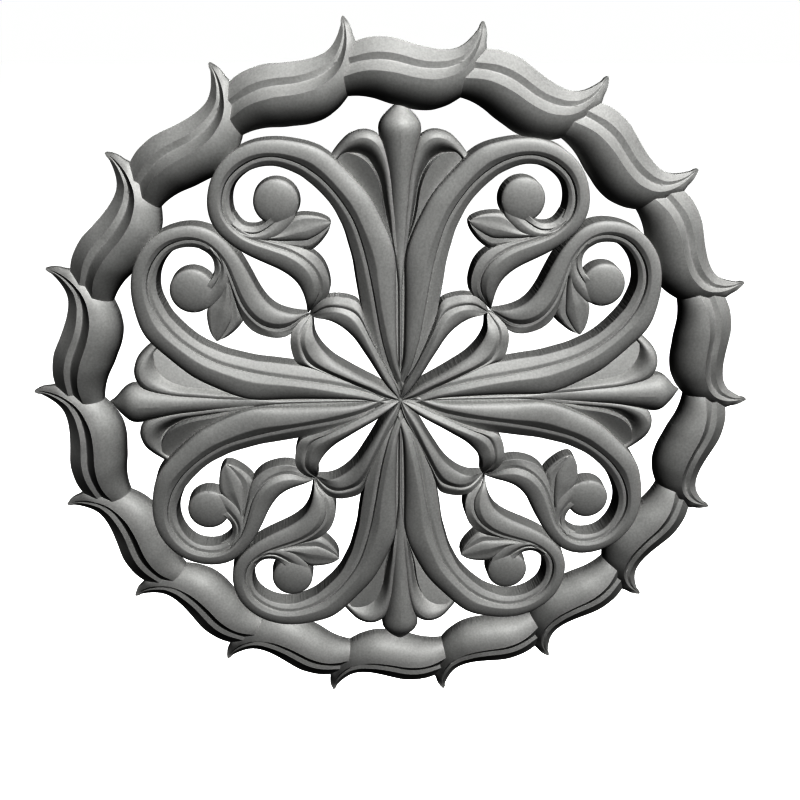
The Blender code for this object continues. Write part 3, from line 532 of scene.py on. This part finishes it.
def polar(rows, count):
    return even([(r * math.cos(math.radians(a)), r * math.sin(math.radians(a)), z) for a, r, z in rows], count)


def matched(tables, count):
    """Rails whose rows belong together, read at common stations."""
    p = [np.array([(r * math.cos(math.radians(a)), r * math.sin(math.radians(a)), z) for a, r, z in t]) for t in tables]
    mean = sum(q[:, :2] for q in p) / len(p)
    u = np.concatenate([[0.0], np.cumsum(np.sqrt(np.hypot(*np.diff(mean, axis=0).T)))])
    dense = natural(mean, u, np.linspace(0, u[-1], 600))
    s = np.concatenate([[0.0], np.cumsum(np.hypot(*np.diff(dense, axis=0).T))])
    t = np.interp(np.linspace(0, s[-1], count), s, np.linspace(0, u[-1], 600))
    return [natural(q, u, t) for q in p]


def ring_leaf():
    a, c1, g, c2, o = matched((RING_IN, RING_C1, RING_G, RING_C2, RING_OUT), 62)
    foot = g + (c1 - g) * 0.10
    foot[:, 2] = g[:, 2] + (c1[:, 2] - g[:, 2]) * 0.05
    return loft("wreath_leaf", [a, c1, foot, g, c2, o], [dome(9, 2.0), bow(3, 0.04), flat(1), flat(1), bow(3, 0.03)], -SINK * 1.27)


# ------------------------------------------------------------------ putting the carving together
def place(me, turn, flip, shift, link, tag):
    me = me.copy()
    ca, sa = math.cos(turn), math.sin(turn)
    n = len(me.vertices)
    co = np.empty(n * 3)
    me.vertices.foreach_get("co", co)
    co = co.reshape(-1, 3)
    if flip:
        co[:, 1] *= -1
    low = co[:, 2] < -0.5 * SINK
    co[low, 2] -= shift
    out = np.column_stack([ca * co[:, 0] - sa * co[:, 1], sa * co[:, 0] + ca * co[:, 1], co[:, 2]])
    me.vertices.foreach_set("co", out.ravel())
    if flip:
        me.flip_normals()
    ids = np.empty(len(me.polygons), dtype=np.int32)
    me.attributes["patch"].data.foreach_get("value", ids)
    me.attributes["patch"].data.foreach_set("value", ids + 10000 * tag)
    me.update()
    ob = bpy.data.objects.new(me.name, me)
    link.objects.link(ob)
    return ob


def boolean(target, operation, operand, solver):
    mod = target.modifiers.new("carve", "BOOLEAN")
    mod.operation = operation
    mod.solver = solver
    if isinstance(operand, bpy.types.Collection):
        mod.operand_type = "COLLECTION"
        mod.collection = operand
    else:
        mod.object = operand
    dg = bpy.context.evaluated_depsgraph_get()
    me = bpy.data.meshes.new_from_object(target.evaluated_get(dg))
    target.modifiers.clear()
    return me


def tidy(me, dist):
    bm = bmesh.new()
    bm.from_mesh(me)
    bmesh.ops.remove_doubles(bm, verts=bm.verts, dist=dist)
    bmesh.ops.dissolve_degenerate(bm, edges=bm.edges, dist=dist)
    bm.to_mesh(me)
    bm.free()


def closed(me):
    bm = bmesh.new()
    bm.from_mesh(me)
    bad = sum(1 for e in bm.edges if not e.is_manifold)
    bm.free()
    return bad == 0 and len(me.polygons) > 1000


def build_carving():
    work = bpy.data.collections.new("shapes")
    bpy.context.scene.collection.children.link(work)
    pieces = scroll_parts() + volute_parts()
    pieces.append(turned("ball", BALL, BALL_PROFILE, -SINK * 1.30, 48, foot=0.0028))
    pieces += leaf_parts() + petal_parts() + lobe_parts()
    drop, strip = drop_parts(), web()
    wreath = ring_leaf()
    boss = turned("boss", (0.0, 0.0), ((0.020, 0.042), (0.015, 0.046), (0.008, 0.050), (0.0, 0.052)), -SINK * 1.33, 24)
    first = None
    for arm in range(4):
        for flip in (False, True):
            for me in pieces:
                ob = place(me, arm * math.pi / 2, flip, 0.0003 * (2 * arm + flip), work if first else bpy.context.scene.collection, 1 + 2 * arm + int(flip))
                first = first or ob
        place(drop, arm * math.pi / 2, False, 0.0003 * arm, work, 10 + arm)
        place(strip, arm * math.pi / 2, False, 0.0003 * arm, work, 50 + arm)
    place(boss, math.radians(7.0), False, 0.0, work, 15)
    for k in range(18):
        place(wreath, math.radians(98.0 - 20.0 * k), False, 0.0003 * (k % 3), work, 20 + k)
    me = None
    for solver in ("MANIFOLD", "EXACT"):
        me = boolean(first, "UNION", work, solver)
        if closed(me):
            break
    tidy(me, 5e-6)
    print("union by", solver, len(me.polygons), closed(me))
    for ob in list(work.objects) + [first]:
        bpy.data.objects.remove(ob, do_unlink=True)
    bpy.data.collections.remove(work)

    bm = bmesh.new()
    bm.from_mesh(me)
    bmesh.ops.triangulate(bm, faces=bm.faces)
    # plane the back flat and close it
    bmesh.ops.bisect_plane(bm, geom=bm.verts[:] + bm.edges[:] + bm.faces[:], dist=1e-7,
                           plane_co=(0, 0, 0), plane_no=(0, 0, 1), clear_inner=True)
    for v in bm.verts:
        if v.co.z < 1e-6:
            v.co.z = 0.0
    bmesh.ops.remove_doubles(bm, verts=bm.verts, dist=5e-6)
    bmesh.ops.dissolve_degenerate(bm, edges=bm.edges, dist=5e-6)
    rim = [e for e in bm.edges if e.is_boundary]
    print("rim", len(rim), max((v.co.z for e in rim for v in e.verts), default=0.0))
    made = bmesh.ops.triangle_fill(bm, use_beauty=True, use_dissolve=False, edges=rim, normal=(0, 0, -1))
    layer = bm.faces.layers.int.get("patch")
    for f in made["geom"]:
        if isinstance(f, bmesh.types.BMFace):
            f[layer] = 999999
    for v in bm.verts:
        x, y, z = v.co
        v.co = (x * R * FIT, -z * R * FIT, y * R * FIT)
    bmesh.ops.triangulate(bm, faces=bm.faces)
    bmesh.ops.recalc_face_normals(bm, faces=bm.faces)
    layer = bm.faces.layers.int.get("patch")
    bm.normal_update()
    for f in bm.faces:
        f.smooth = True
    n_sharp = 0
    for e in bm.edges:
        if len(e.link_faces) == 2:
            a, b = e.link_faces
            ang = e.calc_face_angle(0.0)
            same = layer is not None and a[layer] == b[layer]
            if ang > (math.radians(44) if same else math.radians(9)):
                e.smooth = False
                n_sharp += 1
    out = bpy.data.meshes.new("rosette_carving")
    bm.to_mesh(out)
    print("triangles", len(bm.faces), "sharp", n_sharp, "open", sum(1 for e in bm.edges if not e.is_manifold))
    bm.free()
    ob = bpy.data.objects.new("rosette_carving", out)
    bpy.context.scene.collection.objects.link(ob)
    return ob


# ------------------------------------------------------------------ material
def wood_primer():
    mat = bpy.data.materials.new("primed_carving")
    mat.use_nodes = True
    nt = mat.node_tree
    nodes, links = nt.nodes, nt.links
    bsdf = nodes["Principled BSDF"]
    bsdf.inputs["Metallic"].default_value = 0.0
    bsdf.inputs["Specular IOR Level"].default_value = 0.38
    geo = nodes.new("ShaderNodeTexCoord")
    # fine speckle of the sanded primer
    fine = nodes.new("ShaderNodeTexNoise")
    fine.inputs["Scale"].default_value = 900.0
    fine.inputs["Detail"].default_value = 3.0
    links.new(geo.outputs["Object"], fine.inputs["Vector"])
    # slow cloudiness of the coat
    slow = nodes.new("ShaderNodeTexNoise")
    slow.inputs["Scale"].default_value = 26.0
    slow.inputs["Detail"].default_value = 4.0
    links.new(geo.outputs["Object"], slow.inputs["Vector"])
    ramp = nodes.new("ShaderNodeValToRGB")
    ramp.color_ramp.elements[0].position = 0.30
    ramp.color_ramp.elements[0].color = (0.435, 0.435, 0.43, 1)
    ramp.color_ramp.elements[1].position = 0.72
    ramp.color_ramp.elements[1].color = (0.485, 0.485, 0.48, 1)
    links.new(fine.outputs["Fac"], ramp.inputs["Fac"])
    ramp2 = nodes.new("ShaderNodeValToRGB")
    ramp2.color_ramp.elements[0].position = 0.3
    ramp2.color_ramp.elements[0].color = (0.96, 0.96, 0.96, 1)
    ramp2.color_ramp.elements[1].position = 0.7
    ramp2.color_ramp.elements[1].color = (1.0, 1.0, 1.0, 1)
    links.new(slow.outputs["Fac"], ramp2.inputs["Fac"])
    mix = nodes.new("ShaderNodeMix")
    mix.data_type = "RGBA"
    mix.blend_type = "MULTIPLY"
    mix.inputs["Factor"].default_value = 1.0
    links.new(ramp.outputs["Color"], mix.inputs["A"])
    links.new(ramp2.outputs["Color"], mix.inputs["B"])
    links.new(mix.outputs["Result"], bsdf.inputs["Base Color"])
    rough = nodes.new("ShaderNodeMapRange")
    rough.inputs["To Min"].default_value = 0.50
    rough.inputs["To Max"].default_value = 0.60
    links.new(fine.outputs["Fac"], rough.inputs["Value"])
    links.new(rough.outputs["Result"], bsdf.inputs["Roughness"])
    # tool ribs down the upright sides: noise that does not change along the depth
    squash = nodes.new("ShaderNodeMapping")
    squash.inputs["Scale"].default_value = (1.0, 0.0, 1.0)
    links.new(geo.outputs["Object"], squash.inputs["Vector"])
    ribs = nodes.new("ShaderNodeTexNoise")
    ribs.inputs["Scale"].default_value = 1000.0
    ribs.inputs["Detail"].default_value = 1.0
    links.new(squash.outputs["Vector"], ribs.inputs["Vector"])
    form = nodes.new("ShaderNodeNewGeometry")
    part = nodes.new("ShaderNodeSeparateXYZ")
    links.new(form.outputs["Normal"], part.inputs["Vector"])
    upright = nodes.new("ShaderNodeMapRange")
    upright.inputs["From Min"].default_value = -0.45
    upright.inputs["From Max"].default_value = -0.20
    links.new(part.outputs["Y"], upright.inputs["Value"])
    height = nodes.new("ShaderNodeMath")
    height.operation = "MULTIPLY"
    links.new(ribs.outputs["Fac"], height.inputs[0])
    links.new(upright.outputs["Result"], height.inputs[1])
    b1 = nodes.new("ShaderNodeBump")
    b1.inputs["Strength"].default_value = 1.0
    b1.inputs["Distance"].default_value = 0.0004
    links.new(height.outputs["Value"], b1.inputs["Height"])
    b2 = nodes.new("ShaderNodeBump")
    b2.inputs["Strength"].default_value = 0.15
    b2.inputs["Distance"].default_value = 0.0002
    links.new(fine.outputs["Fac"], b2.inputs["Height"])
    links.new(b1.outputs["Normal"], b2.inputs["Normal"])
    links.new(b2.outputs["Normal"], bsdf.inputs["Normal"])
    return mat


# ------------------------------------------------------------------ stage
def stage():
    mat = bpy.data.materials.new("studio_floor")
    mat.use_nodes = True
    bsdf = mat.node_tree.nodes["Principled BSDF"]
    bsdf.inputs["Base Color"].default_value = (0.95, 0.95, 0.95, 1)
    bsdf.inputs["Roughness"].default_value = 1.0
    bsdf.inputs["Specular IOR Level"].default_value = 0.0
    bsdf.inputs["Emission Color"].default_value = (1, 1, 1, 1)
    bsdf.inputs["Emission Strength"].default_value = 1.0
    me = bpy.data.meshes.new("floor")
    s, z = 40.0, -0.60
    me.from_pydata([(-s, -s, z), (s, -s, z), (s, s, z), (-s, s, z)], [], [(0, 1, 2, 3)])
    floor = bpy.data.objects.new("floor", me)
    bpy.context.scene.collection.objects.link(floor)
    me.materials.append(mat)
    floor.visible_diffuse = False
    floor.visible_glossy = False

    world = bpy.data.worlds.new("studio")
    bpy.context.scene.world = world
    world.use_nodes = True
    bg = world.node_tree.nodes["Background"]
    bg.inputs["Color"].default_value = (1, 1, 1, 1)
    bg.inputs["Strength"].default_value = 1.0
    world.cycles_visibility.diffuse = False
    world.cycles_visibility.glossy = False

    az, el = math.radians(70.0), math.radians(45.0)
    d = Vector((math.cos(el) * math.cos(az), -math.sin(el), math.cos(el) * math.sin(az)))
    key = bpy.data.lights.new("key", "AREA")
    key.shape = "DISK"
    key.size = 0.9
    key.energy = 116.5
    key.use_shadow = False
    ob = bpy.data.objects.new("key", key)
    bpy.context.scene.collection.objects.link(ob)
    ob.location = d * 2.6
    ob.rotation_euler = (-d).to_track_quat("-Z", "Y").to_euler()

    # light on the flat back, square to it, so that it leaves the carved side as it is
    rear = bpy.data.lights.new("rear", "SUN")
    rear.energy = 3.2
    rear.angle = 0.05
    rear.use_shadow = False
    ob = bpy.data.objects.new("rear", rear)
    bpy.context.scene.collection.objects.link(ob)
    ob.location = (0.0, 2.0, 0.0)
    ob.rotation_euler = Vector((0.0, -1.0, 0.0)).to_track_quat("-Z", "Y").to_euler()


def camera():
    cam = bpy.data.cameras.new("camera")
    cam.sensor_fit = "HORIZONTAL"
    cam.sensor_width = 36.0
    cam.lens = 43.456
    cam.clip_start = 0.01
    ob = bpy.data.objects.new("camera", cam)
    bpy.context.scene.collection.objects.link(ob)
    ob.location = Vector((-0.16075, -2.55039, 0.92934)) * R
    target = Vector((-0.00014, -0.03, -0.00608)) * R
    ob.rotation_euler = (target - ob.location).to_track_quat("-Z", "Y").to_euler()
    bpy.context.scene.camera = ob


carving = build_carving()
carving.data.materials.append(wood_primer())
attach(carving, "root")
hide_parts("rosette")
stage()
camera()
view = bpy.context.scene.view_settings
view.view_transform = "Standard"
view.look = "None"
view.gamma = 0.33
